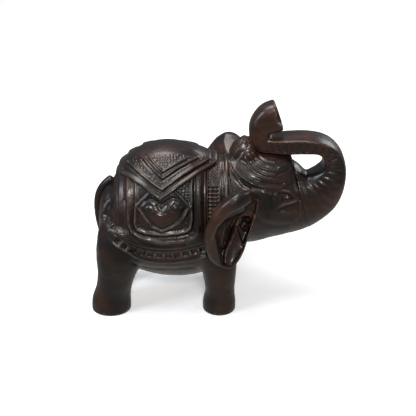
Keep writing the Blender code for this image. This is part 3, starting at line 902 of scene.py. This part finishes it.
stipple *= step(np.abs(carve.co[:, 1]), 2.5, 6.0)
carve.h -= 0.40 * stipple * step(first, 1.0, 1.6) * step(-second, 1.6, 2.2) * below
carve.h -= 0.40 * stipple * step(third, 0.6, 1.2) * step(65.0 - carve.w, 0.0, 1.5)
carve.press(carve.outward())
finish_piece(cover, "carved_saddle_cover", "saddle_cover", WOOD, depth=carve.h)

BAND_EDGE = ((-5.4, 27.0), (0.4, 27.0), (0.4, 90.0), (-5.4, 90.0))
RIB_PITCH, HATCH_PITCH = 1.75, 1.7
band = laid_on("band_skin", body_tubes(), BODY_SKIN, BAND_LIFT, BAND_EDGE, BAND_TRIMMED)
carve = Carving(band)
rib = np.abs(np.modf((carve.w + 100) / RIB_PITCH)[0] - 0.5) * 2
lower = step(51.0 - carve.w, 0.0, 2.0)
middle = step(2.4 - np.abs(carve.u + 2.6), 0.0, 0.6)
carve.h += middle * lower * (0.65 * step(rib, 0.2, 0.75) - 0.55)
hatch = np.abs(np.modf((carve.w + carve.u * 1.1 + 100) / HATCH_PITCH)[0] - 0.5) * 2
carve.h += middle * (1 - lower) * (0.3 * step(hatch, 0.2, 0.8) - 0.2)
carve.h -= 0.3 * bell(carve.u + 4.6, 0.5) + 0.3 * bell(carve.u + 0.4, 0.4)
carve.press(carve.outward())
finish_piece(band, "carved_neck_band", "neck_band", WOOD, depth=carve.h)

# ---------------------------------------------------------------- head cover
CAP_EDGE = (
    (4.6, 90.0), (4.6, 62.0), (6.3, 58.3), (9.4, 53.9), (12.5, 51.6), (15.6, 49.9), (20.6, 49.0),
    (27.5, 48.6), (30.4, 50.0), (32.5, 53.0), (33.0, 58.0), (33.0, 90.0),
)
AHEAD_OF_NECK = (NECK[1], (60.0, 30.0), (60.0, 90.0), (3.0, 90.0), NECK[2])
torso_and_head = [*body_tubes()[:1], *head_tubes()]
cap = laid_on("cap_skin", torso_and_head, CAP_SKIN, CAP_LIFT, CAP_EDGE, CAP_TRIMMED, AHEAD_OF_NECK)
carve = Carving(cap)
# The hem, the folds that follow it, the wrinkles above the eye and the fold behind the crown.
CAP_LINES = (
    (
        ((7.0, 58.6), (9.8, 54.8), (12.8, 52.6), (15.8, 51.0), (20.6, 50.1), (27.5, 49.7), (30.0, 51.2)),
        0.6, 0.55,
    ),
    (((8.4, 60.0), (11.0, 56.4), (14.0, 54.0), (18.6, 52.2), (24.0, 51.6), (28.6, 51.6)), 0.45, -0.45),
    (((10.0, 61.4), (12.4, 58.0), (15.4, 55.6), (19.4, 54.0), (24.0, 53.6)), 0.45, 0.40),
    (((11.6, 63.0), (14.2, 59.4), (17.4, 57.0), (20.8, 55.6), (25.0, 55.4)), 0.45, 0.45),
    (((13.4, 64.2), (15.8, 61.0), (18.8, 58.6), (22.4, 57.4), (26.4, 57.4)), 0.45, 0.40),
    (((15.4, 65.2), (17.4, 62.4), (20.2, 60.4), (23.8, 59.4)), 0.45, 0.40),
    (((17.6, 65.8), (19.2, 63.6), (21.8, 62.0), (25.0, 61.4)), 0.45, 0.35),
    (((24.6, 53.0), (28.0, 53.4), (31.2, 55.4)), 0.6, 0.30),
    (((26.4, 55.8), (29.2, 56.4), (31.6, 58.4)), 0.6, -0.30),
    (((27.0, 58.8), (29.6, 59.6), (31.6, 61.4)), 0.6, 0.30),
    (((5.6, 62.6), (8.0, 66.4), (11.6, 70.4)), 0.6, 0.45),
    (((7.4, 61.8), (9.8, 65.2), (13.2, 68.6)), 0.5, -0.40),
)
carve.ridges(CAP_LINES)
carve.h *= 0.75 + 0.45 * noise(carve.co, 3.0, 4.0)
carve.press(carve.outward())
finish_piece(cap, "carved_head_cover", "head_cover", WOOD, depth=carve.h)

# ---------------------------------------------------------------- ears
EAR = (
    ((17.6, 18.0, 62.3), (16.0, 20.2, 60.3)),
    ((13.6, 28.0, 69.6), (13.4, 30.2, 63.4)),
    ((7.5, 33.0, 71.2), (8.8, 35.0, 62.8)),
    ((1.2, 33.5, 67.6), (4.2, 35.5, 60.2)),
    ((-4.0, 32.5, 60.0), (0.6, 35.5, 56.0)),
    ((-7.2, 31.0, 50.5), (-1.0, 34.5, 50.8)),
    ((-7.0, 30.0, 42.5), (-0.2, 33.0, 44.0)),
    ((-4.6, 29.0, 35.5), (0.8, 31.0, 37.8)),
    ((0.2, 28.5, 31.2), (2.0, 29.5, 33.4)),
    ((5.4, 27.5, 29.6), (5.4, 28.3, 31.6)),
    ((10.2, 25.5, 34.6), (9.0, 26.3, 35.8)),
    ((14.0, 20.8, 43.6), (12.6, 21.8, 44.2)),
    ((16.4, 17.6, 50.4), (15.0, 18.8, 50.8)),
    ((18.0, 17.6, 56.2), (16.3, 19.2, 56.6)),
)
EAR_MIDDLE = (9.5, 19.4, 52.5)
EAR_BACK = (12.0, 11.0, 55.0)
EAR_SLIP = -2.5
EAR_CREST = ((-3.2, 28.0), (-1.3, 33.0), (1.7, 35.6), (5.6, 37.5), (10.6, 39.6), (14.0, 39.4), (16.2, 36.6))
EAR_INNER = (
    (1.6, 14.8), (1.2, 19.4), (0.9, 23.2), (-0.6, 26.0), (-0.9, 28.5), (0.5, 31.4), (3.9, 34.2), (7.8, 35.9),
    (11.6, 37.0), (14.0, 36.8), (14.8, 35.0), (13.9, 31.6), (12.6, 28.0), (11.2, 24.9), (10.7, 20.7),
    (8.7, 16.6), (6.2, 14.2),
)
EAR_LEAF = (
    (7.9, 32.8), (9.3, 28.7), (10.6, 24.9), (10.4, 20.7), (8.6, 16.8), (6.2, 14.6), (2.6, 14.8), (2.4, 19.0),
    (3.4, 22.4), (5.2, 26.0), (6.6, 30.0),
)
EAR_SLOT = ((8.2, 34.4), (6.4, 31.4), (4.8, 26.8), (3.0, 22.4))
EAR_FOLD = ((3.9, 33.4), (2.7, 29.0), (2.1, 25.0), (1.5, 21.5), (1.6, 17.0))
EAR_HOLE = ((9.2, 35.8), (13.4, 35.9), (13.8, 33.2), (11.8, 29.6), (9.6, 32.0))
EAR_CUP = ((-2.4, 38.0), (0.2, 43.0), (4.6, 46.0), (9.0, 46.2), (12.8, 44.0), (12.0, 34.0), (2.0, 30.0))
LIP_BULGE, LIP_DEPTH = (2.2, 4.5)


def ear_shell(side, slip):
    """A cupped ear with a rolled lip, as in the frame's ear but finer."""
    rows = catmull_rom([outline + lip for outline, lip in EAR], 10, closed=True)
    middle, behind_middle = Vector(EAR_MIDDLE), Vector(EAR_BACK)
    rings = [[] for _ in range(8)]
    for row in rows:
        edge, lip = Vector(row[:3]), Vector(row[3:])
        width = (edge - lip).length
        crest = edge.lerp(lip, 0.55) + Vector((0, min(LIP_BULGE, 0.35 * width), 0))
        shoulder = edge.lerp(lip, 0.15) + Vector((0, min(LIP_BULGE, 0.3 * width), 0))
        under = lip.lerp(edge, 0.25) - Vector((0, min(LIP_DEPTH, 0.5 * width) + 0.3, 0))
        dish = middle.lerp(lip, 0.75)
        dish.y = middle.y + (under.y - middle.y) * 0.55
        inner = middle.lerp(dish, 0.45)
        behind = behind_middle.lerp(edge, 0.72)
        behind.y = behind_middle.y + (edge.y - behind_middle.y) * 0.5
        for ring, spot in zip(rings, (inner, dish, under, lip, crest, shoulder, edge, behind)):
            ring.append(spot)
    bm = bmesh.new()
    made = [[bm.verts.new((p.x + slip, side * p.y, p.z)) for p in ring] for ring in rings]
    skin(bm, made)
    for ring, centre in ((made[0], middle), (made[-1], behind_middle)):
        pole = bm.verts.new((centre.x + slip, side * centre.y, centre.z))
        for k in range(len(ring)):
            bm.faces.new((ring[k], ring[(k + 1) % len(ring)], pole))
    shell = make("ear_shell", bm)
    shell.modifiers.new("round", "SUBSURF").levels = 1
    return fuse(settle(shell), *EAR_SKIN)


near_core = mass("core", [*body_tubes(), *head_tubes()], NEAR_SKIN, EAR_GAP)
for word, side, slip in (("right", -1, 0.0), ("left", 1, EAR_SLIP)):
    ear = ear_shell(side, slip)
    combine(ear, "DIFFERENCE", near_core, keep=True)
    fuse(ear, *EAR_TRIMMED)
    carve = Carving(ear)
    carve.u = carve.u - slip
    carve.h += 0.05 * noise(carve.co, 3.0, 9.0)
    face = step(carve.n[:, 1] * side, 0.15, 0.5)
    carve.h -= face * 1.9 * step(carve.inside(EAR_INNER), -0.3, 0.9)
    carve.h += face * 1.5 * step(carve.inside(EAR_LEAF), -0.3, 0.7)
    carve.h -= face * 2.2 * step(carve.inside(EAR_HOLE), -0.3, 1.0)
    carve.ridge(EAR_SLOT, 0.55, -1.4, face)
    carve.ridge(EAR_FOLD, 0.40, 0.8, face)
    carve.ridge(EAR_CREST, 0.8, 0.5, face)
    cup = carve.inside(EAR_CUP)
    back_face = 1 - step(carve.n[:, 1] * side, -0.3, 0.1)
    carve.h += back_face * (0.7 * bell(cup + 0.4, 0.8) - 2.0 * step(cup, 0.0, 1.8))
    carve.press()
    finish_piece(ear, "carved_ear_" + word, "ear_" + word, RED_WOOD, depth=carve.h)
bpy.data.objects.remove(near_core)

# ---------------------------------------------------------------- tail
bm = bmesh.new()
tube(bm, TAIL, sides=24)
tail = fuse(make("tail_skin", bm), *TAIL_SKIN)
finish_piece(tail, "carved_tail", "tail", WOOD, keep=TAIL_THINNED)

# ---------------------------------------------------------------- eyes and hidden pegs
for word, sign in (("right", -1), ("left", 1)):
    bm = bmesh.new()
    spot = Matrix.Translation((EYE_SPOT[0], sign * EYE_SPOT[1], EYE_SPOT[2]))
    bmesh.ops.create_icosphere(bm, subdivisions=4, radius=EYE_RADIUS, matrix=spot)
    finish_piece(make("eye", bm), "glossy_eye_" + word, "eye_" + word, EYE_GLOSS, keep=1.0)
for name in ("head_peg", "trunk_peg", "ear_peg_right", "ear_peg_left"):
    node = frame["nodes"][name]
    node.data.materials.clear()
    node.data.materials.append(PEG_WOOD)
